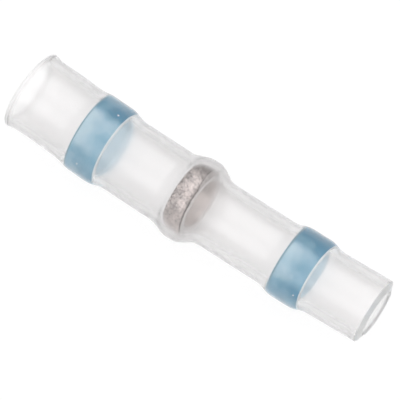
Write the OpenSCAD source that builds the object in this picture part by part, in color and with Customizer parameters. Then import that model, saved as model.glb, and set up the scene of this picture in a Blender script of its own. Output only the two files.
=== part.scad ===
// Heat-shrink solder sleeve: a clear tube, part shrunk over a solder ring and two sealing rings.
// +X runs along the tube from the wide mouth to the narrow one. The origin is the middle of the solder ring.

/* [Sleeve] */
// Length from the middle of the solder ring to the wide mouth
wide_length = 19.5; // [18.4:0.1:24]
// Length from the middle of the solder ring to the narrow mouth
narrow_length = 20.4; // [18:0.1:26]
// Bore of the wide half, beside the solder ring
wide_bore_d = 5.9; // [5.2:0.05:6.6]
// Wall of the wide half
wide_wall = 0.8; // [0.5:0.05:1]
// Bore of the narrow half
narrow_bore_d = 4.9; // [4.2:0.05:5.1]
// Wall of the narrow half, which has shrunk more and is thicker
narrow_wall = 0.9; // [0.6:0.05:1.2]
// Depth of the flat that the sleeve lies on, pressed into the underside of its crest while it was warm
rest_flat = 0.06; // [0:0.01:0.12]

/* [Mouths] */
// How much larger in radius the wide half is outside its sealing ring
skirt_step = 0.18; // [0:0.02:0.3]
// Rise of the wide mouth's flare, in radius
wide_flare = 0.2; // [0:0.02:0.5]
// Length of the wide mouth's flare
wide_flare_length = 1.6; // [1:0.1:2.5]
// Rounding of the wide mouth's lip
wide_lip_r = 0.2; // [0.05:0.05:0.3]
// Rounding of the narrow mouth's outer edge
narrow_lip_r = 0.1; // [0.05:0.05:0.5]

/* [Solder ring] */
// Width of the solder ring along the sleeve
solder_width = 1.8; // [1.2:0.1:2.4]
// Bore of the solder ring
solder_bore_d = 4.9; // [3.8:0.05:5]
// Thickness of the solder ring
solder_thick = 1.15; // [0.7:0.05:1.3]
// Rounding of the solder ring's outer edges
solder_edge_r = 0.2; // [0.1:0.05:0.4]

/* [Sealing rings] */
// Width of each sealing ring along the sleeve
seal_width = 3.15; // [2:0.05:3.5]
// Thickness of each sealing ring
seal_thick = 0.4; // [0.2:0.05:0.6]
// Rounding of the sealing rings' outer edges
seal_edge_r = 0.12; // [0.02:0.02:0.16]
// Distance from the solder ring's middle to the middle of the wide half's sealing ring
wide_seal_at = 10.88; // [8.4:0.02:11.4]
// Distance from the solder ring's middle to the middle of the narrow half's sealing ring
narrow_seal_at = 12.28; // [9:0.02:13]

/* [Fit] */
// Gap between a ring and the sleeve that has shrunk onto it
grip_gap = 0.02; // [0.01:0.01:0.06]
// Length over which the bore slopes down beside a sealing ring
seal_slope = 1.2; // [0.8:0.1:1.6]
// Wall over the solder ring, where the sleeve has shrunk least and is thinnest
crest_wall = 0.73; // [0.5:0.01:0.9]
// Length over which the bore slopes down from the solder ring to either half
solder_slope = 1.45; // [1.2:0.05:2.2]

/* [Hidden] */
// Over a ring's edge the outer skin starts down this much before the bore does
skin_early = 0.5;
// Beside the solder ring it also levels out this much after the bore
solder_skin_late = 0.5;
slope_steps = 10;
flare_steps = 6;
lip_steps = 6;
round_fn = 96;

wide_bore_r = wide_bore_d / 2;
narrow_bore_r = narrow_bore_d / 2;
solder_bore_r = solder_bore_d / 2;
solder_r = solder_bore_r + solder_thick;
wide_seal_r = wide_bore_r + seal_thick;
narrow_seal_r = narrow_bore_r + seal_thick;
skirt_bore_r = wide_bore_r + skirt_step;
crest_r = solder_r + grip_gap + crest_wall;

// Ends of what lies along the sleeve
flare_end_x = -wide_length + wide_flare_length;
wide_seal_x = [-wide_seal_at - seal_width / 2, -wide_seal_at + seal_width / 2];
narrow_seal_x = [narrow_seal_at - seal_width / 2, narrow_seal_at + seal_width / 2];
solder_flat = solder_width / 2 - solder_edge_r;
solder_skin_reach = solder_flat + solder_slope + solder_skin_late;

// Stations of the bore, [x, radius], from the end of the flare to the narrow mouth. Between two stations of
// unlike radius the sleeve runs in a smooth S, and it lies on each ring between two stations of like radius.
bore_stations = [
    [flare_end_x, skirt_bore_r],
    [wide_seal_x[0] - seal_slope, skirt_bore_r],
    [wide_seal_x[0], wide_seal_r + grip_gap],
    [wide_seal_x[1], wide_seal_r + grip_gap],
    [wide_seal_x[1] + seal_slope, wide_bore_r],
    [-solder_flat - solder_slope, wide_bore_r],
    [-solder_flat, solder_r + grip_gap],
    [solder_flat, solder_r + grip_gap],
    [solder_flat + solder_slope, narrow_bore_r],
    [narrow_seal_x[0] - seal_slope, narrow_bore_r],
    [narrow_seal_x[0], narrow_seal_r + grip_gap],
    [narrow_seal_x[1], narrow_seal_r + grip_gap],
    [narrow_seal_x[1] + seal_slope, narrow_bore_r],
    [narrow_length, narrow_bore_r]
];

// Stations of the outer skin, one wall outside the bore, with longer slopes where the wall draws thin over a
// ring's edge
skin_stations = [
    [flare_end_x, skirt_bore_r + wide_wall],
    [wide_seal_x[0] - seal_slope, skirt_bore_r + wide_wall],
    [wide_seal_x[0] + skin_early, wide_seal_r + wide_wall],
    [wide_seal_x[1] - skin_early, wide_seal_r + wide_wall],
    [wide_seal_x[1] + seal_slope, wide_bore_r + wide_wall],
    [-solder_skin_reach, wide_bore_r + wide_wall],
    [-solder_flat + skin_early, crest_r],
    [solder_flat - skin_early, crest_r],
    [solder_skin_reach, narrow_bore_r + narrow_wall],
    [narrow_seal_x[0] - seal_slope, narrow_bore_r + narrow_wall],
    [narrow_seal_x[0] + skin_early, narrow_seal_r + narrow_wall],
    [narrow_seal_x[1] - skin_early, narrow_seal_r + narrow_wall],
    [narrow_seal_x[1] + seal_slope, narrow_bore_r + narrow_wall]
];

// From 0 to 1 in a smooth S
function ease(t) = (1 - cos(180 * t)) / 2;

// The stretch from station a up to station b, without b itself
function stretch(a, b) = a[1] == b[1]
    ? [a]
    : [for (i = [0 : slope_steps - 1]) let (t = i / slope_steps) [
        a[0] + (b[0] - a[0]) * t,
        a[1] + (b[1] - a[1]) * ease(t)
    ]];

// The whole line through the stations
function run(stations) = concat(
    [for (i = [0 : len(stations) - 2]) each stretch(stations[i], stations[i + 1])],
    [stations[len(stations) - 1]]
);

// The wide mouth's flare from x = begin to its end, without the end itself, above the radius base
function flare(begin, base) = [
    for (i = [0 : flare_steps - 1]) let (t = i / flare_steps) [
        begin + (flare_end_x - begin) * t,
        base + wide_flare * pow(1 - t, 2)
    ]
];

// An arc of radius r about [x, y], from the angle begin to begin + sweep
function corner(x, y, r, begin, sweep) = [
    for (i = [0 : lip_steps]) let (a = begin + sweep * i / lip_steps) [x + r * cos(a), y + r * sin(a)]
];

// Turns an outline of [x, radius] points about the X axis
module turned(outline) {
    rotate([0, 90, 0])
        rotate_extrude($fn = round_fn)
            polygon([for (p = outline) [p[1], p[0]]]);
}

// A ring with a plain bore and rounded outer edges, its middle at x = at
module band(at, width, bore_r, outer_r, edge_r) {
    low = at - width / 2;
    high = at + width / 2;
    turned(concat(
        [[low, bore_r]],
        corner(low + edge_r, outer_r - edge_r, edge_r, 180, -90),
        corner(high - edge_r, outer_r - edge_r, edge_r, 90, -90),
        [[high, bore_r]]
    ));
}

module heat_shrink_sleeve() {
    bore = concat(flare(-wide_length, skirt_bore_r), run(bore_stations));
    bore_back = [for (i = [len(bore) - 1 : -1 : 0]) bore[i]];
    wide_lip_x = -wide_length + wide_lip_r;
    wide_lip_y = skirt_bore_r + wide_flare + wide_wall - wide_lip_r;
    narrow_lip_x = narrow_length - narrow_lip_r;
    narrow_lip_y = narrow_bore_r + narrow_wall - narrow_lip_r;
    skin = concat(
        corner(wide_lip_x, wide_lip_y, wide_lip_r, 180, -75),
        flare(wide_lip_x, skirt_bore_r + wide_wall),
        run(skin_stations),
        corner(narrow_lip_x, narrow_lip_y, narrow_lip_r, 90, -90)
    );
    color([0.93, 0.93, 0.92, 0.45])
        difference() {
            turned(concat(skin, bore_back));
            // What the flat takes off
            translate([0, 0, -crest_r])
                cube([2 * solder_skin_reach, 2 * crest_r, 2 * rest_flat], center = true);
        }
}

module solder_ring() {
    color([0.77, 0.72, 0.7])
        band(0, solder_width, solder_bore_r, solder_r, solder_edge_r);
}

module wide_seal_ring() {
    color([0.46, 0.63, 0.72])
        band(-wide_seal_at, seal_width, wide_bore_r, wide_seal_r, seal_edge_r);
}

module narrow_seal_ring() {
    color([0.46, 0.63, 0.72])
        band(narrow_seal_at, seal_width, narrow_bore_r, narrow_seal_r, seal_edge_r);
}

heat_shrink_sleeve();
solder_ring();
wide_seal_ring();
narrow_seal_ring();
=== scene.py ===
# A heat-shrink solder sleeve on white: a clear frosted tube shrunk over a solder ring and two blue sealing
# rings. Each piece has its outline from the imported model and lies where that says. Only here, the middle line
# bows a little, the solder ring leans, and neither mouth is cut quite square.
import math

import bpy
import numpy as np
from mathutils import Matrix, Vector


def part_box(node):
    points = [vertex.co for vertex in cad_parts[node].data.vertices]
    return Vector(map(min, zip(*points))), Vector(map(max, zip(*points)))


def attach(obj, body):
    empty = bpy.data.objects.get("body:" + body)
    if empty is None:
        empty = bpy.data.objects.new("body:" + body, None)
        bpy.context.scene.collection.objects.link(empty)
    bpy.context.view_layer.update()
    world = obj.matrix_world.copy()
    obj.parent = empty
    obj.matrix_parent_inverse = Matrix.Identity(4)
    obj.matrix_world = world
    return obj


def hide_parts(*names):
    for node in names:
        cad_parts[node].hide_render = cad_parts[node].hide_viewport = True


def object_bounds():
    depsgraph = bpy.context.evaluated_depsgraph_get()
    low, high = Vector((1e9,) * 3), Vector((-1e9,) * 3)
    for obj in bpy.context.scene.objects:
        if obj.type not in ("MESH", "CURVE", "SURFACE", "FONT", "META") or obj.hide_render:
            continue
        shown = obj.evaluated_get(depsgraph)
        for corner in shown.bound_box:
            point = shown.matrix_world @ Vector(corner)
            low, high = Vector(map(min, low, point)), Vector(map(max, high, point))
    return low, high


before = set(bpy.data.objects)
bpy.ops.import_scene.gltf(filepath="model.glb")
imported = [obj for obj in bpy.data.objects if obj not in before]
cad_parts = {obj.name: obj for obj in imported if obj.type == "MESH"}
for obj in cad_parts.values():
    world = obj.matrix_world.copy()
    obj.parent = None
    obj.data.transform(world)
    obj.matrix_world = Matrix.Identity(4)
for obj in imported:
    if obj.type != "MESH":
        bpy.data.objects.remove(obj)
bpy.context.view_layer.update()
MM = 0.001

# Sizes of the object, in mm where nothing else is said

# How far the tube's middle line bows to +Y at each place along it, because it was drawn down by hand
BOW_AT = [-19.5, -15.8, -14.3, -12.7, -8.4, -2.5, 1.6, 9.3, 13.6, 17.2, 20.4]
BOW = [0.34, 0.25, 0.15, -0.02, -0.12, -0.17, -0.11, -0.05, 0.0, 0.15, 0.27]
# Two directions across the tube, as y and z: up and a little to -Y, and a quarter turn from that to +Y
UPWARD = (-0.307, 0.952)
SIDEWAYS = (0.952, 0.307)
# The solder ring's upper side is drawn towards the wide mouth, and the tube's crest over it leans with it
LEAN = math.tan(math.radians(6))
LEAN_FULL = 1.0  # from the ring's middle up to which the lean is full
LEAN_END = 3.4  # from the ring's middle to where the lean has gone
# The wide mouth was cut askew, so the tube is longer on its -Y side: so much for each mm across it
SKEW = 0.05
SKEW_END = 3.0  # from the mouth to where the skew has gone
# At the narrow mouth the blade ran at a slant, and the bore's edge stands out so far past the skin's
BEVEL = 0.3

GAP = 0.02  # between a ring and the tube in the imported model
EMBED = 0.03  # how deep a sealing ring's soft skin sinks into the tube that has shrunk onto it
AIR = 0.05  # between the solder ring's crinkled skin and the tube, which only rests on it
HOLD = 0.5  # from the solder ring's middle up to which it holds the bore out
FREE = 1.4  # from the solder ring's middle to where the bore is free of it
HOLD_WIDE, HOLD_NARROW = 0.35, 0.5  # share of the way out to it, on each half's side
CHAMFER = 0.08  # by which the solder ring's bore is opened at each end

STEP = 0.1  # between two rows of the sleeve's outline
LIP = 1.0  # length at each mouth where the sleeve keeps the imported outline
PACKED_FULL = 1.0  # beyond the lip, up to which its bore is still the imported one
PACKED_END = 3.0  # beyond the lip, to where its bore runs parallel to its skin
WALL_NEAR = 0.15  # from a ring's middle, nearer than which the wall's thickness is read
WALL_FAR = 3.5  # from every ring's middle, further than which it is read too

WET_BEYOND = (0.4, 1.2, 0.3)  # beyond each ring, towards the narrow mouth, that it wets the bore
WET_FULL, WET_END = 0.1, 1.1  # from there, up to which the bore is clear and to where it is matt
MOUTH_FULL, MOUTH_END = 1.2, 4.2  # the same from the wide mouth
MOUTH_CLEAR = 0.75  # how clear it is there, where 1 is as clear as under a ring
# From a cut end, up to which the blade's mark is full and to where it has gone
CUT_FULL, CUT_END = 0.1, 0.5

# The darker tint's two ends along the tube, each from outside it to inside
DARKER_TINT_BEGIN, DARKER_TINT_END = (-1.7, -0.7), (3.0, 2.0)
# The adhesive's thin film, each limit from outside it to inside: two ends along the tube, its upper edge as a
# share of the way up, and the radius
FILM_BEGIN, FILM_END = (-9.4, -9.3), (-8.8, -9.05)
FILM_TOP = (0.3, 0.0)
FILM_RADIUS = (3.6, 3.5)

# Numbers without a unit

BOW_ROWS = 161  # rows of the smoothed bow
BOW_SMOOTHING = 60  # times that the bow is smoothed
SKIN_SMOOTHING = 5  # times that the sleeve's skin is smoothed


# Nodes and colours

def linear(hex_colour):
    """An sRGB hex colour as linear RGBA."""
    parts = [int(hex_colour[i : i + 2], 16) / 255 for i in (1, 3, 5)]
    return [c / 12.92 if c <= 0.04045 else ((c + 0.055) / 1.055) ** 2.4 for c in parts] + [1.0]


def add(tree, kind, inputs=None, **settings):
    """Adds a node with its settings. An input, by name or number, gets a node, an output or a value."""
    made = tree.nodes.new(kind)
    for name, value in settings.items():
        setattr(made, name, value)
    for name, value in (inputs or {}).items():
        if isinstance(value, bpy.types.Node):
            value = value.outputs[0]
        if isinstance(value, bpy.types.NodeSocket):
            tree.links.new(value, made.inputs[name])
        else:
            made.inputs[name].default_value = value
    return made


def within(tree, limits, **settings):
    """From 0 outside to 1 inside. Each limit is a value of the tree, where it is outside and where inside."""
    share = 1.0
    for value, outside, inside in limits:
        limit = add(tree, "ShaderNodeMapRange", {
            "Value": value, "From Min": outside, "From Max": inside,
        }, **settings)
        share = add(tree, "ShaderNodeMath", {0: share, 1: limit}, operation="MULTIPLY")
    return share


def layered(tree, colour, layers):
    """A colour with layers over it, each a share that it covers and an sRGB hex tone."""
    for share, tone in layers:
        colour = add(tree, "ShaderNodeMix", {
            "Factor": share, 6: colour, 7: linear(tone),
        }, data_type="RGBA").outputs[2]
    return colour


# Outlines, which are rows of x and radius in mm

def radial_outline(node):
    """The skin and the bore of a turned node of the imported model, each as sorted rows."""
    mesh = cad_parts[node].data
    points = np.empty(len(mesh.vertices) * 3)
    mesh.vertices.foreach_get("co", points)
    points = points.reshape(-1, 3) / MM
    skin, bore = {}, {}
    for face in mesh.polygons:
        corners = points[list(face.vertices)]
        _, y, z = corners.mean(axis=0)
        outward = (face.normal[1] * y + face.normal[2] * z) / math.hypot(y, z)
        # An end face belongs to neither
        if abs(outward) < 0.02:
            continue
        rows = skin if outward > 0 else bore
        for x, y, z in corners:
            key = round(x, 3)
            rows[key] = max(rows.get(key, 0.0), math.hypot(y, z))
    return [np.array(sorted(rows.items())) for rows in (skin, bore)]


def finer(rows, step):
    """The same outline with extra rows, so that none is more than a step from the next."""
    xs = [rows[0, 0]]
    for a, b in zip(rows[:-1, 0], rows[1:, 0]):
        parts = max(1, math.ceil((b - a) / step))
        xs.extend(a + (b - a) * k / parts for k in range(1, parts + 1))
    return np.column_stack([xs, np.interp(xs, *rows.T)])


def smoothed(line, times):
    """A line of values with each one, apart from its two ends, mixed with its neighbours so many times."""
    line = line.copy()
    for _ in range(times):
        line[1:-1] = (line[:-2] + line[1:-1] * 2 + line[2:]) / 4
    return line


def fall(distance, begin, end):
    """From 1 at begin to 0 at end, in a smooth S."""
    t = min(1.0, max(0.0, (distance - begin) / (end - begin)))
    return 1.0 - t * t * (3.0 - 2.0 * t)


def respaced(rows, places, line):
    """An outline whose stretch between the first and the last place is given by a line of radii there."""
    before, after = rows[rows[:, 0] < places[0]], rows[rows[:, 0] > places[-1]]
    return np.vstack([before, np.column_stack([places, line]), after])


def parallel_bore(skin, bore, rings, places):
    """The sleeve's bore drawn parallel to its skin, as far inside it as the wall is thick."""
    outer = np.interp(places, *skin.T)
    inner = np.interp(places, *bore.T)
    # The wall's thickness is read at each ring's middle and well away from the rings
    middles = [ring[:, 0].mean() for ring in rings]
    read = [all(not WALL_NEAR <= abs(x - middle) <= WALL_FAR for middle in middles) for x in places]
    wall = np.interp(places, places[read], (outer - inner)[read])
    slope = np.gradient(outer, places)
    slant = np.hypot(1.0, slope)
    line = np.interp(places, places + slope / slant * wall, outer - wall / slant)
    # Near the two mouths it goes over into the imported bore
    packed = np.array([fall(min(x - places[0], places[-1] - x), PACKED_FULL, PACKED_END) for x in places])
    line += packed * (inner - line)
    # Near its edges the hard solder ring holds the bore out a little further, most on the narrow half's side
    held_out = np.array([
        fall(abs(x), HOLD, FREE) * (HOLD_NARROW if x > 0 else HOLD_WIDE) for x in places
    ])
    line += held_out * np.maximum(0.0, rings[1][:, 1].max() + GAP - line)
    return respaced(finer(bore, STEP), places, smoothed(line, 1))


RINGS = [radial_outline(node)[0] for node in ("wide_seal_ring", "solder_ring", "narrow_seal_ring")]

sleeve_skin, sleeve_bore = radial_outline("heat_shrink_sleeve")
WIDE_MOUTH, NARROW_MOUTH = sleeve_skin[[0, -1], 0]
places = np.arange(WIDE_MOUTH + LIP, NARROW_MOUTH - LIP, STEP)
skin_line = smoothed(np.interp(places, *sleeve_skin.T), SKIN_SMOOTHING)
sleeve_skin = respaced(sleeve_skin, places, skin_line)
sleeve_bore = parallel_bore(sleeve_skin, sleeve_bore, RINGS, places)
sleeve_bore[-1, 0] += BEVEL

bow_places = np.linspace(BOW_AT[0], BOW_AT[-1], BOW_ROWS)
bow_line = smoothed(np.interp(bow_places, BOW_AT, BOW), BOW_SMOOTHING)


def held(rows, sunk):
    """A ring's skin sunk so far into the sleeve's bore, which slopes down over its edges, or clear of it by
    -sunk."""
    bore = np.interp(rows[:, 0], *sleeve_bore.T)
    return np.column_stack([rows[:, 0], np.minimum(rows[:, 1] + GAP, bore) + sunk])


def wetted(x):
    """How clear the sleeve's bore is at x: 1 where a ring wets it and a little way beyond, towards the narrow
    mouth, and 0 where it is free. Near the wide mouth, which has shrunk least, it is nearly as clear."""
    away = min(max(ring[0, 0] - x, x - ring[-1, 0] - more) for ring, more in zip(RINGS, WET_BEYOND))
    mouth = MOUTH_CLEAR * fall(x - WIDE_MOUTH, MOUTH_FULL, MOUTH_END)
    return max(fall(away, WET_FULL, WET_END), mouth)


def chain(name, skin, bore, wetted=None):
    """An object of loose points round an outline: along the skin, back along the bore. y holds the bow and z
    the radius. Its attributes say how each place leans, how near it is to a cut end, how far along the piece,
    and how matt it is."""
    rows = np.vstack([skin, bore[::-1]])
    xs = rows[:, 0]
    begin, end = xs.min(), xs.max()
    mesh = bpy.data.meshes.new(name)
    mesh.from_pydata(np.column_stack([xs, np.interp(xs, bow_places, bow_line), rows[:, 1]]) * MM, [], [])
    crest = [LEAN * fall(abs(x), LEAN_FULL, LEAN_END) for x in xs]
    mouth = [SKEW * fall(x - WIDE_MOUTH, 0.0, SKEW_END) for x in xs]
    leans = np.outer(crest, (0.0, *UPWARD)) - np.outer(mouth, (0.0, *SIDEWAYS))
    mesh.attributes.new("lean", "FLOAT_VECTOR", "POINT").data.foreach_set("vector", leans.ravel())
    marks = {
        "cut": [fall(min(x - begin, end - x), CUT_FULL, CUT_END) for x in xs],
        "along": (xs - begin) / (end - begin),
        "matt": [0.0] * len(skin) + [1.0 - wetted(x) if wetted else 0.0 for x in bore[::-1, 0]],
    }
    for mark, values in marks.items():
        mesh.attributes.new(mark, "FLOAT", "POINT").data.foreach_set("value", values)
    made = bpy.data.objects.new(name, mesh)
    bpy.context.scene.collection.objects.link(made)
    return made


# The tree that turns an outline into a tube or a ring

def turned_tree():
    """Turns a closed chain of points about the X axis, with the radius uneven, as shrunk tubing has it."""
    tree = bpy.data.node_groups.new("turned", "GeometryNodeTree")
    face = tree.interface
    face.new_socket("Outline", in_out="INPUT", socket_type="NodeSocketGeometry")
    face.new_socket("Segments", in_out="INPUT", socket_type="NodeSocketInt")
    for name in ("Lowest", "Wave Height", "Wave Size", "Grain Height", "Grain Size", "Seed"):
        face.new_socket(name, in_out="INPUT", socket_type="NodeSocketFloat")
    face.new_socket("Material", in_out="INPUT", socket_type="NodeSocketMaterial")
    face.new_socket("Turned", in_out="OUTPUT", socket_type="NodeSocketGeometry")
    given = add(tree, "NodeGroupInput").outputs

    # A grid with a row for each point of the outline and the first one again, and a column for each step of
    # the turn
    count = add(tree, "GeometryNodeAttributeDomainSize", {"Geometry": given["Outline"]})
    count = count.outputs["Point Count"]
    rows = add(tree, "ShaderNodeMath", {0: count, 1: 1.0}, operation="ADD")
    columns = add(tree, "ShaderNodeMath", {0: given["Segments"], 1: 1.0}, operation="ADD")
    grid = add(tree, "GeometryNodeMeshGrid", {"Vertices X": rows, "Vertices Y": columns})
    index = add(tree, "GeometryNodeInputIndex")
    middle = add(tree, "ShaderNodeMath", {0: index, 1: 0.5}, operation="ADD")
    row = add(tree, "ShaderNodeMath", {0: middle, 1: columns}, operation="DIVIDE")
    row = add(tree, "ShaderNodeMath", {0: row}, operation="FLOOR")
    before = add(tree, "ShaderNodeMath", {0: row, 1: columns}, operation="MULTIPLY")
    column = add(tree, "ShaderNodeMath", {0: index, 1: before}, operation="SUBTRACT")
    column = add(tree, "ShaderNodeMath", {0: column, 1: given["Segments"]}, operation="MODULO")
    share = add(tree, "ShaderNodeMath", {0: column, 1: given["Segments"]}, operation="DIVIDE")
    angle = add(tree, "ShaderNodeMath", {0: share, 1: 2 * math.pi}, operation="MULTIPLY")
    sine = add(tree, "ShaderNodeMath", {0: angle}, operation="SINE")
    cosine = add(tree, "ShaderNodeMath", {0: angle}, operation="COSINE")
    spoke = add(tree, "ShaderNodeCombineXYZ", {"Y": sine, "Z": cosine})

    # Each grid point's place on the outline: x, the bow and the radius
    turn_row = add(tree, "ShaderNodeMath", {0: row, 1: count}, operation="MODULO")
    here = add(tree, "GeometryNodeSampleIndex", {
        "Geometry": given["Outline"],
        "Value": add(tree, "GeometryNodeInputPosition"),
        "Index": turn_row,
    }, data_type="FLOAT_VECTOR", domain="POINT")
    here = add(tree, "ShaderNodeSeparateXYZ", {0: here}).outputs
    along = add(tree, "ShaderNodeCombineXYZ", {"X": here["X"]})
    true_place = add(tree, "ShaderNodeVectorMath", {
        0: spoke, 1: here["Z"], 2: along,
    }, operation="MULTIPLY_ADD")

    # The waviness and the finer grain of the radius, and no point below the lowest one that is allowed
    radius = here["Z"]
    for pattern in ("Wave", "Grain"):
        fineness = add(tree, "ShaderNodeMath", {0: 1.0, 1: given[pattern + " Size"]}, operation="DIVIDE")
        noise = add(tree, "ShaderNodeTexNoise", {
            "Vector": true_place, "W": given["Seed"], "Scale": fineness, "Detail": 2.0,
        }, noise_dimensions="4D")
        swing = add(tree, "ShaderNodeMath", {0: noise, 1: 2.0, 2: -1.0}, operation="MULTIPLY_ADD")
        radius = add(tree, "ShaderNodeMath", {
            0: swing, 1: given[pattern + " Height"], 2: radius,
        }, operation="MULTIPLY_ADD")
    uneven = add(tree, "ShaderNodeSeparateXYZ", {
        0: add(tree, "ShaderNodeVectorMath", {0: spoke, 1: radius}, operation="MULTIPLY"),
    }).outputs
    lifted = add(tree, "ShaderNodeMath", {0: uneven["Z"], 1: given["Lowest"]}, operation="MAXIMUM")
    section = add(tree, "ShaderNodeCombineXYZ", {"Y": uneven["Y"], "Z": lifted})

    # The outline's marks are carried over to the turned piece, for its material to read
    marked = grid
    for mark in ("cut", "along", "matt"):
        marked = add(tree, "GeometryNodeStoreNamedAttribute", {
            "Geometry": marked, "Name": mark,
            "Value": add(tree, "GeometryNodeSampleIndex", {
                "Geometry": given["Outline"],
                "Value": add(tree, "GeometryNodeInputNamedAttribute", {"Name": mark}, data_type="FLOAT"),
                "Index": turn_row,
            }, data_type="FLOAT", domain="POINT"),
        }, data_type="FLOAT", domain="POINT")

    # The lean draws the side that it points to towards -X, and the other side towards +X
    lean = add(tree, "GeometryNodeSampleIndex", {
        "Geometry": given["Outline"],
        "Value": add(tree, "GeometryNodeInputNamedAttribute", {"Name": "lean"}, data_type="FLOAT_VECTOR"),
        "Index": turn_row,
    }, data_type="FLOAT_VECTOR", domain="POINT")
    drawn = add(tree, "ShaderNodeVectorMath", {0: section, 1: lean}, operation="DOT_PRODUCT").outputs["Value"]
    place = add(tree, "ShaderNodeVectorMath", {
        0: section,
        1: add(tree, "ShaderNodeCombineXYZ", {
            "X": add(tree, "ShaderNodeMath", {0: here["X"], 1: drawn}, operation="SUBTRACT"), "Y": here["Y"],
        }),
    }, operation="ADD")
    shaped = add(tree, "GeometryNodeSetPosition", {"Geometry": marked, "Position": place})
    closed = add(tree, "GeometryNodeMergeByDistance", {"Geometry": shaped, "Distance": 1e-7})
    smooth = add(tree, "GeometryNodeSetShadeSmooth", {"Geometry": closed, "Shade Smooth": True})
    bend = add(tree, "GeometryNodeInputMeshEdgeAngle").outputs["Unsigned Angle"]
    blunt = add(tree, "FunctionNodeCompare", {"A": bend, "B": math.radians(40)}, operation="LESS_THAN")
    edged = add(tree, "GeometryNodeSetShadeSmooth", {
        "Geometry": smooth, "Shade Smooth": blunt,
    }, domain="EDGE")
    real = add(tree, "GeometryNodeRealizeInstances", {"Geometry": edged})
    made = add(tree, "GeometryNodeSetMaterial", {"Geometry": real, "Material": given["Material"]})
    add(tree, "NodeGroupOutput", {"Turned": made})
    return tree


def turn(points, tree, material, segments, seed, wave, grain=(0.0, 1.0), lowest=-1.0):
    """Runs the tree on a chain of points and returns the result as a plain mesh object of the same name. wave
    and grain each give a height and a size in mm, and lowest is a height in metres."""
    name = points.name
    modifier = points.modifiers.new("turned", "NODES")
    modifier.node_group = tree
    given = {
        "Segments": segments, "Lowest": lowest, "Seed": seed, "Material": material,
        "Wave Height": wave[0] * MM, "Wave Size": wave[1] * MM,
        "Grain Height": grain[0] * MM, "Grain Size": grain[1] * MM,
    }
    for item in tree.interface.items_tree:
        if item.in_out == "INPUT" and item.name in given:
            modifier[item.identifier] = given[item.name]
    bpy.context.view_layer.update()
    graph = bpy.context.evaluated_depsgraph_get()
    mesh = bpy.data.meshes.new_from_object(points.evaluated_get(graph), depsgraph=graph)
    bpy.data.objects.remove(points)
    mesh.name = name
    made = bpy.data.objects.new(name, mesh)
    bpy.context.scene.collection.objects.link(made)
    return made


# Materials

def material(name):
    """An empty material and its node tree."""
    made = bpy.data.materials.new(name)
    made.use_nodes = True
    made.node_tree.nodes.clear()
    return made, made.node_tree


def about_axis(tree, place):
    """The direction and the distance of a place from the X axis, seen along it."""
    flat = add(tree, "ShaderNodeVectorMath", {0: place, 1: (0.0, 1.0, 1.0)}, operation="MULTIPLY")
    outward = add(tree, "ShaderNodeVectorMath", {0: flat}, operation="NORMALIZE")
    radius = add(tree, "ShaderNodeVectorMath", {0: flat}, operation="LENGTH").outputs["Value"]
    return outward, radius


def clear_tubing():
    """Extruded polyolefin, shrunk with hot air: clear, waxy and a little frosted, so it blurs what is behind
    it."""
    made, tree = material("frosted_polyolefin")
    cut = add(tree, "ShaderNodeAttribute", attribute_name="cut").outputs["Fac"]
    matt = add(tree, "ShaderNodeAttribute", attribute_name="matt").outputs["Fac"]
    along = add(tree, "ShaderNodeAttribute", attribute_name="along").outputs["Fac"]
    place = add(tree, "ShaderNodeTexCoord").outputs["Object"]
    x = add(tree, "ShaderNodeSeparateXYZ", {0: place})
    outward, radius = about_axis(tree, place)
    height = add(tree, "ShaderNodeVectorMath", {
        0: outward, 1: (0.0, *UPWARD),
    }, operation="DOT_PRODUCT").outputs["Value"]

    # The tube is tinted a little darker over the solder ring and on the slope beyond it
    darker_tint = within(tree, [(x, outside * MM, inside * MM) for outside, inside in (DARKER_TINT_BEGIN, DARKER_TINT_END)])
    # The adhesive has crept out of the wide half's ring towards the solder ring, as a thin blue film low in
    # the bore
    film = within(tree, [
        *((x, outside * MM, inside * MM) for outside, inside in (FILM_BEGIN, FILM_END)),
        (height, *FILM_TOP),
        (radius, FILM_RADIUS[0] * MM, FILM_RADIUS[1] * MM),
    ])
    # Painted shade: the cut face of the narrow mouth is a little greyer on its upper side
    cut_face = add(tree, "ShaderNodeMath", {0: along, 1: 0.9925}, operation="GREATER_THAN")
    upper = add(tree, "ShaderNodeMapRange", {"Value": height, "From Min": -0.1, "From Max": 0.3})
    painted_cut_shade = add(tree, "ShaderNodeMath", {0: cut_face, 1: upper}, operation="MULTIPLY")
    colour = layered(tree, linear("#FFFEFE"), (
        (darker_tint, "#F0EEEE"), (film, "#8FBAD2"), (painted_cut_shade, "#ECECEC"),
    ))

    # The skin is a little glossier than the bore, except where a ring wets that, and the blade left the cut
    # ends dull and milky. The bore stays under 0.274, where the render's denoiser begins to take it for matt
    # and leaves a faint line round it
    shader = add(tree, "ShaderNodeBsdfPrincipled", {
        "Base Color": colour,
        "Roughness": add(tree, "ShaderNodeMapRange", {
            "Value": cut,
            "To Min": add(tree, "ShaderNodeMapRange", {"Value": matt, "To Min": 0.2, "To Max": 0.27}),
            "To Max": 0.4,
        }),
        "IOR": 1.49,
        "Transmission Weight": add(tree, "ShaderNodeMapRange", {"Value": cut, "To Min": 0.92, "To Max": 0.6}),
        "Sheen Weight": 0.5,
        "Sheen Roughness": 0.4,
    })
    add(tree, "ShaderNodeOutputMaterial", {"Surface": shader})
    return made


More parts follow.
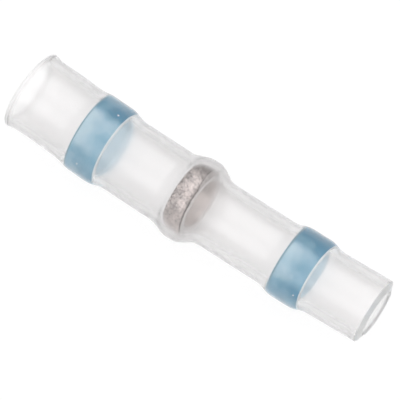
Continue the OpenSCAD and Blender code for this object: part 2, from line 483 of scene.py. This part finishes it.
def hot_melt():
    """Blue hot-melt adhesive, extruded as a ring: slightly see-through, mottled where it wets the tube."""
    made, tree = material("blue_hot_melt_adhesive")
    coordinates = add(tree, "ShaderNodeTexCoord").outputs
    place, facing = coordinates["Object"], coordinates["Normal"]
    x = add(tree, "ShaderNodeSeparateXYZ", {0: place})
    along = add(tree, "ShaderNodeAttribute", attribute_name="along").outputs["Fac"]
    outward, _ = about_axis(tree, place)

    # Painted light: a painted highlight makes it pale on top, and painted shade makes it dark at the sides,
    # most on the +Y side. The pale stripe winds round the tube a little
    winding = add(tree, "ShaderNodeMath", {0: x, 1: -0.0039 / MM, 2: -0.30}, operation="MULTIPLY_ADD")
    height = add(tree, "ShaderNodeVectorMath", {
        0: outward, 1: add(tree, "ShaderNodeCombineXYZ", {"Y": winding, "Z": 0.955}),
    }, operation="DOT_PRODUCT").outputs["Value"]
    painted_shade_side = add(tree, "ShaderNodeMapRange", {
        "Value": add(tree, "ShaderNodeSeparateXYZ", {0: outward}).outputs["Y"],
        "From Min": -0.5, "From Max": 0.1, "To Min": -0.08, "To Max": -0.16,
    })
    painted_highlight_stripe = add(tree, "ShaderNodeMapRange", {
        "Value": height, "From Min": 0.72, "From Max": 0.93, "To Min": painted_shade_side, "To Max": 0.12,
    }, interpolation_type="SMOOTHSTEP")
    # Patches of about 2.4 mm, where it has wetted the tube more or less
    patches = add(tree, "ShaderNodeTexNoise", {"Vector": place, "Scale": 1 / (2.4 * MM), "Detail": 3.0})
    patches = add(tree, "ShaderNodeMath", {0: patches, 1: 0.6, 2: painted_highlight_stripe}, operation="MULTIPLY_ADD")
    # Each ring is darker towards the narrow mouth, and the ring in the narrow half is darker all over
    shade = add(tree, "ShaderNodeMapRange", {"Value": along, "To Min": 0.24, "To Max": 0.12})
    shade = add(tree, "ShaderNodeMath", {0: x, 1: -0.0016 / MM, 2: shade}, operation="MULTIPLY_ADD")
    ramp = add(tree, "ShaderNodeValToRGB", {
        "Fac": add(tree, "ShaderNodeMath", {0: patches, 1: shade}, operation="ADD"),
    })
    ramp.color_ramp.elements.new(0.49)
    tones = ((0.3, "#2C93BA"), (0.49, "#86C0DA"), (0.68, "#C4E4F2"))
    for element, (position, tone) in zip(ramp.color_ramp.elements, tones):
        element.position = position
        element.color = linear(tone)

    # Painted shade: a dark line runs round its end towards the wide mouth, for the shade where the tube lifts
    # off it. A painted highlight: a pale line runs round the other end
    painted_shadow_line = add(tree, "ShaderNodeMath", {0: along, 1: 0.05}, operation="LESS_THAN")
    painted_highlight_line = add(tree, "ShaderNodeMath", {0: along, 1: 0.962}, operation="GREATER_THAN")
    # A few white specks about 0.2 mm across are painted glints on its sides, where trapped air would catch the
    # light
    cells = add(tree, "ShaderNodeTexVoronoi", {"Vector": place, "Scale": 1 / (0.9 * MM)})
    near = add(tree, "ShaderNodeMath", {0: cells.outputs["Distance"], 1: 0.1}, operation="LESS_THAN")
    rare = add(tree, "ShaderNodeMath", {
        0: add(tree, "ShaderNodeSeparateXYZ", {0: cells.outputs["Color"]}), 1: 0.6,
    }, operation="GREATER_THAN")
    sides = add(tree, "ShaderNodeMath", {0: painted_highlight_stripe, 1: 0.0}, operation="LESS_THAN")
    painted_glint_speck = add(tree, "ShaderNodeMath", {0: near, 1: rare}, operation="MULTIPLY")
    painted_glint_speck = add(tree, "ShaderNodeMath", {0: painted_glint_speck, 1: sides}, operation="MULTIPLY")
    # Painted light: the end faces are whitish and the bore is paler than the skin, for the light that shines
    # through the adhesive
    endward = add(tree, "ShaderNodeMath", {
        0: add(tree, "ShaderNodeSeparateXYZ", {0: facing}),
    }, operation="ABSOLUTE")
    end = add(tree, "ShaderNodeMapRange", {"Value": endward, "From Min": 0.35, "From Max": 0.6})
    inward = add(tree, "ShaderNodeVectorMath", {
        0: facing, 1: outward,
    }, operation="DOT_PRODUCT").outputs["Value"]
    inside = add(tree, "ShaderNodeMapRange", {"Value": inward, "From Min": -0.5, "From Max": -0.8})
    colour = layered(tree, ramp, (
        (painted_shadow_line, "#86AFC2"), (painted_highlight_line, "#F0FCFF"), (painted_glint_speck, "#F4FCFF"),
        (end, "#F4FCFF"), (inside, "#DCF2FF"),
    ))
    shader = add(tree, "ShaderNodeBsdfPrincipled", {
        "Base Color": colour,
        "Roughness": 0.35,
        "IOR": 1.5,
        "Subsurface Weight": 0.3,
        "Subsurface Radius": (0.5, 0.5, 0.5),
        "Subsurface Scale": 0.6 * MM,
    })
    add(tree, "ShaderNodeOutputMaterial", {"Surface": shader})
    return made


def solder():
    """Low-melting solder with a rosin flux coat: dull pinkish-grey metal, crinkled, with bright glints."""
    made, tree = material("fluxed_solder")
    coordinates = add(tree, "ShaderNodeTexCoord").outputs
    place, facing = coordinates["Object"], coordinates["Normal"]
    along = add(tree, "ShaderNodeAttribute", attribute_name="along").outputs["Fac"]
    outward, radius = about_axis(tree, place)
    sideways = add(tree, "ShaderNodeVectorMath", {
        0: outward, 1: (0.0, *SIDEWAYS),
    }, operation="DOT_PRODUCT").outputs["Value"]

    # Crinkles of about 0.2 mm, gathered in patches of about 0.9 mm
    crinkle = add(tree, "ShaderNodeTexNoise", {"Vector": place, "Scale": 1 / (0.2 * MM), "Detail": 4.0})
    patches = add(tree, "ShaderNodeTexNoise", {"Vector": place, "Scale": 1 / (0.9 * MM), "Detail": 2.0})
    mixed = add(tree, "ShaderNodeMath", {0: crinkle, 1: patches}, operation="ADD")
    bump = add(tree, "ShaderNodeBump", {"Height": crinkle, "Strength": 0.8, "Distance": 0.08 * MM})
    # The ramp's near-white top also makes the palest patches stand in as painted glints
    ramp = add(tree, "ShaderNodeValToRGB", {
        "Fac": add(tree, "ShaderNodeMath", {0: mixed, 1: 0.5}, operation="MULTIPLY"),
    })
    for element, (position, tone) in zip(ramp.color_ramp.elements, ((0.38, "#877B78"), (0.6, "#FFF3EE"))):
        element.position = position
        element.color = linear(tone)

    # Painted shade darkens the side towards +Y, and painted light makes the side towards -Y paler
    painted_shade_plus_y = add(tree, "ShaderNodeMapRange", {
        "Value": sideways, "From Min": 0.45, "From Max": 0.85, "To Max": 0.45,
    })
    painted_light_minus_y = add(tree, "ShaderNodeMapRange", {
        "Value": sideways, "From Min": -0.25, "From Max": -0.7, "To Max": 0.35,
    })
    # The outer edges are dark and ragged with painted shade, for the shaded crease between them and the tube,
    # and the end faces are paler
    endward = add(tree, "ShaderNodeSeparateXYZ", {0: facing})
    outer = add(tree, "ShaderNodeMath", {0: radius, 1: 3.1 * MM}, operation="GREATER_THAN")
    ragged = add(tree, "ShaderNodeMath", {0: crinkle, 1: 0.5, 2: -0.25}, operation="MULTIPLY_ADD")
    turned = add(tree, "ShaderNodeMath", {0: endward, 1: ragged}, operation="ADD")
    wide_edge = add(tree, "ShaderNodeMath", {0: turned, 1: -0.6, 2: 0.28}, operation="COMPARE")
    narrow_edge = add(tree, "ShaderNodeMath", {0: turned, 1: 0.7, 2: 0.15}, operation="COMPARE")
    painted_shade_edge = add(tree, "ShaderNodeMath", {0: wide_edge, 1: narrow_edge}, operation="MAXIMUM")
    painted_shade_edge = add(tree, "ShaderNodeMath", {0: painted_shade_edge, 1: outer}, operation="MULTIPLY")
    end = add(tree, "ShaderNodeMapRange", {
        "Value": add(tree, "ShaderNodeMath", {0: endward}, operation="ABSOLUTE"),
        "From Min": 0.88, "From Max": 0.95,
    })
    # On the +Y side the painted dark edges are fainter, and the one towards the narrow mouth lies further in
    # from that end, so the pale end begins further in
    inner_reach = add(tree, "ShaderNodeMapRange", {
        "Value": sideways, "From Min": 0.2, "From Max": 0.8, "To Max": 0.22,
    })
    inner_reach = add(tree, "ShaderNodeMath", {0: inner_reach, 1: along}, operation="ADD")
    inner_reach = add(tree, "ShaderNodeMath", {0: ragged, 1: 0.15, 2: inner_reach}, operation="MULTIPLY_ADD")
    narrow_shade_line = add(tree, "ShaderNodeMath", {0: inner_reach, 1: 0.95, 2: 0.035}, operation="COMPARE")
    pale = add(tree, "ShaderNodeMath", {0: inner_reach, 1: 0.985}, operation="GREATER_THAN")
    painted_shade_edge = add(tree, "ShaderNodeMath", {0: painted_shade_edge, 1: narrow_shade_line}, operation="MAXIMUM")
    painted_shade_edge = add(tree, "ShaderNodeMath", {0: painted_shade_edge, 1: pale}, operation="SUBTRACT", use_clamp=True)
    strength = add(tree, "ShaderNodeMapRange", {
        "Value": sideways, "From Min": -0.1, "From Max": 0.4, "To Min": 0.75, "To Max": 0.4,
    })
    painted_shade_edge = add(tree, "ShaderNodeMath", {0: painted_shade_edge, 1: strength}, operation="MULTIPLY")
    pale = add(tree, "ShaderNodeMath", {0: pale, 1: 0.6}, operation="MULTIPLY")
    end = add(tree, "ShaderNodeMath", {0: end, 1: pale}, operation="MAXIMUM")
    # The bore is painted paler than the skin, as painted light where the inside of the ring lies in shade
    bore = add(tree, "ShaderNodeMath", {0: radius, 1: 2.6 * MM}, operation="LESS_THAN")
    bore = add(tree, "ShaderNodeMath", {0: bore, 1: 0.6}, operation="MULTIPLY")
    colour = layered(tree, ramp, (
        (painted_shade_plus_y, "#6E6561"), (painted_light_minus_y, "#F8F0EC"), (painted_shade_edge, "#5E5552"), (end, "#FFFCFA"), (bore, "#FFF8F4"),
    ))
    shader = add(tree, "ShaderNodeBsdfPrincipled", {
        "Base Color": colour,
        "Metallic": 0.55,
        "Roughness": 0.3,
        "Normal": bump,
    })
    add(tree, "ShaderNodeOutputMaterial", {"Surface": shader})
    return made


# The four pieces

tree = turned_tree()

outline = chain("clear_sleeve", sleeve_skin, sleeve_bore, wetted)
sleeve = turn(
    outline, tree, clear_tubing(),
    segments=120, seed=1.0, wave=(0.01, 3.5), lowest=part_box("heat_shrink_sleeve")[0][2],
)
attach(sleeve, "root")
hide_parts("heat_shrink_sleeve")

adhesive = hot_melt()
for node, seed in (("wide_seal_ring", 2.0), ("narrow_seal_ring", 3.0)):
    skin, bore = radial_outline(node)
    skin = held(finer(skin, step=0.1), EMBED)
    outline = chain(node.replace("seal", "hot_melt"), skin, finer(bore, step=0.2))
    ring = turn(outline, tree, adhesive, segments=144, seed=seed, wave=(0.02, 1.5))
    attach(ring, "root")
    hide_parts(node)

skin, bore = radial_outline("solder_ring")
(wide_end, radius), (narrow_end, _) = bore[[0, -1]]
bore = np.array([
    [wide_end, radius + CHAMFER], [wide_end + CHAMFER, radius],
    [narrow_end - CHAMFER, radius], [narrow_end, radius + CHAMFER],
])
outline = chain("solder_band", held(finer(skin, step=0.05), -AIR), finer(bore, step=0.08))
band = turn(outline, tree, solder(), segments=288, seed=4.0, wave=(0.03, 1.2), grain=(0.02, 0.3))
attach(band, "root")
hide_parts("solder_ring")


# Floor, light and camera

FLOOR = 2.0  # metres from its middle to each side

# Edges of the long soft box over the tube, each from outside it to inside. Its long edges are in degrees
# round the tube from straight up to +Y, and its ends are the x of a direction of length 1
BOX_NEAR, BOX_FAR = (-66, -56), (66, 32)
BOX_WIDE_END, BOX_NARROW_END = (-0.5, -0.35), (0.6, 0.45)
SEAM = -14  # degrees round the tube, where a dimmer strip runs between the box's two panels
BOX_LIGHT = 2.15

# The photograph's view: from 69 degrees above the floor, with the tube running down to the right
TOWARD_CAMERA = Vector((0.208, -0.300, 0.931)).normalized()
RIGHT = Vector((0.822, 0.569, 0.0)).normalized()
AIM_RIGHT, AIM_UP = 0.489, -0.068  # mm in the view from the solder ring's middle to the picture's
CAMERA_DISTANCE = 348  # mm
FOCAL_LENGTH = 328.5  # mm, for a sensor 36 mm wide


def white_card():
    """White card that looks white to the camera, in gloss and through the tube, and keeps a faint shadow."""
    made, tree = material("white_card")
    path = add(tree, "ShaderNodeLightPath").outputs
    seen = path["Is Camera Ray"]
    for ray in ("Is Glossy Ray", "Is Transmission Ray"):
        seen = add(tree, "ShaderNodeMath", {0: seen, 1: path[ray]}, operation="MAXIMUM")
    lit = add(tree, "ShaderNodeMix", {0: path["Is Camera Ray"], 2: 1.0, 3: 1.03})
    mixed = add(tree, "ShaderNodeMixShader", {
        0: add(tree, "ShaderNodeMath", {0: seen, 1: 0.9}, operation="MULTIPLY"),
        1: add(tree, "ShaderNodeBsdfDiffuse", {"Color": (0.85, 0.85, 0.85, 1.0)}),
        2: add(tree, "ShaderNodeEmission", {"Color": (1.0, 1.0, 1.0, 1.0), "Strength": lit}),
    })
    add(tree, "ShaderNodeOutputMaterial", {"Surface": mixed})
    return made


def studio():
    """A world with a soft box over the tube and a dimmer room round it, which the camera sees as white."""
    made = bpy.data.worlds.new("studio")
    made.use_nodes = True
    sky = made.node_tree
    sky.nodes.clear()
    toward = add(sky, "ShaderNodeTexCoord").outputs["Generated"]
    toward = add(sky, "ShaderNodeSeparateXYZ", {0: toward}).outputs
    around = add(sky, "ShaderNodeMath", {0: toward["Y"], 1: toward["Z"]}, operation="ARCTAN2")
    box = within(sky, [
        (around, *map(math.radians, BOX_NEAR)),
        (around, *map(math.radians, BOX_FAR)),
        (toward["X"], *BOX_WIDE_END),
        (toward["X"], *BOX_NARROW_END),
    ], interpolation_type="SMOOTHSTEP")
    off_seam = add(sky, "ShaderNodeMath", {0: around, 1: math.radians(SEAM)}, operation="SUBTRACT")
    seam = add(sky, "ShaderNodeMapRange", {
        "Value": add(sky, "ShaderNodeMath", {0: off_seam}, operation="ABSOLUTE"),
        "From Min": math.radians(4), "From Max": math.radians(20), "To Min": 0.55, "To Max": 1.0,
    }, interpolation_type="SMOOTHSTEP")
    box = add(sky, "ShaderNodeMath", {0: box, 1: seam}, operation="MULTIPLY")
    # The room is lighter on the -Y side
    room = add(sky, "ShaderNodeMapRange", {
        "Value": around,
        "From Min": math.radians(-20), "From Max": math.radians(20), "To Min": 0.7, "To Max": 0.5,
    }, interpolation_type="SMOOTHSTEP")
    light = add(sky, "ShaderNodeMix", {0: box, 2: room, 3: BOX_LIGHT})
    strength = add(sky, "ShaderNodeMix", {0: add(sky, "ShaderNodeLightPath"), 2: light, 3: 1.0})
    back = add(sky, "ShaderNodeBackground", {"Color": (1.0, 1.0, 1.0, 1.0), "Strength": strength})
    add(sky, "ShaderNodeOutputWorld", {"Surface": back})
    return made


floor_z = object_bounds()[0][2]
mesh = bpy.data.meshes.new("floor")
corners = [(x * FLOOR, y * FLOOR, floor_z) for x, y in ((-1, -1), (1, -1), (1, 1), (-1, 1))]
mesh.from_pydata(corners, [], [(0, 1, 2, 3)])
mesh.materials.append(white_card())
floor = bpy.data.objects.new("floor", mesh)
bpy.context.scene.collection.objects.link(floor)

bpy.context.scene.world = studio()

up = TOWARD_CAMERA.cross(RIGHT)
aim = (RIGHT * AIM_RIGHT + up * AIM_UP) * MM
axes = Matrix((RIGHT, up, TOWARD_CAMERA)).transposed().to_4x4()
lens = bpy.data.cameras.new("camera")
lens.sensor_width = 36.0
lens.lens = FOCAL_LENGTH
lens.clip_start = 0.01
lens.clip_end = 20.0
camera = bpy.data.objects.new("camera", lens)
camera.matrix_world = Matrix.Translation(aim + TOWARD_CAMERA * CAMERA_DISTANCE * MM) @ axes
bpy.context.scene.collection.objects.link(camera)
bpy.context.scene.camera = camera
bpy.context.scene.view_settings.view_transform = "Standard"
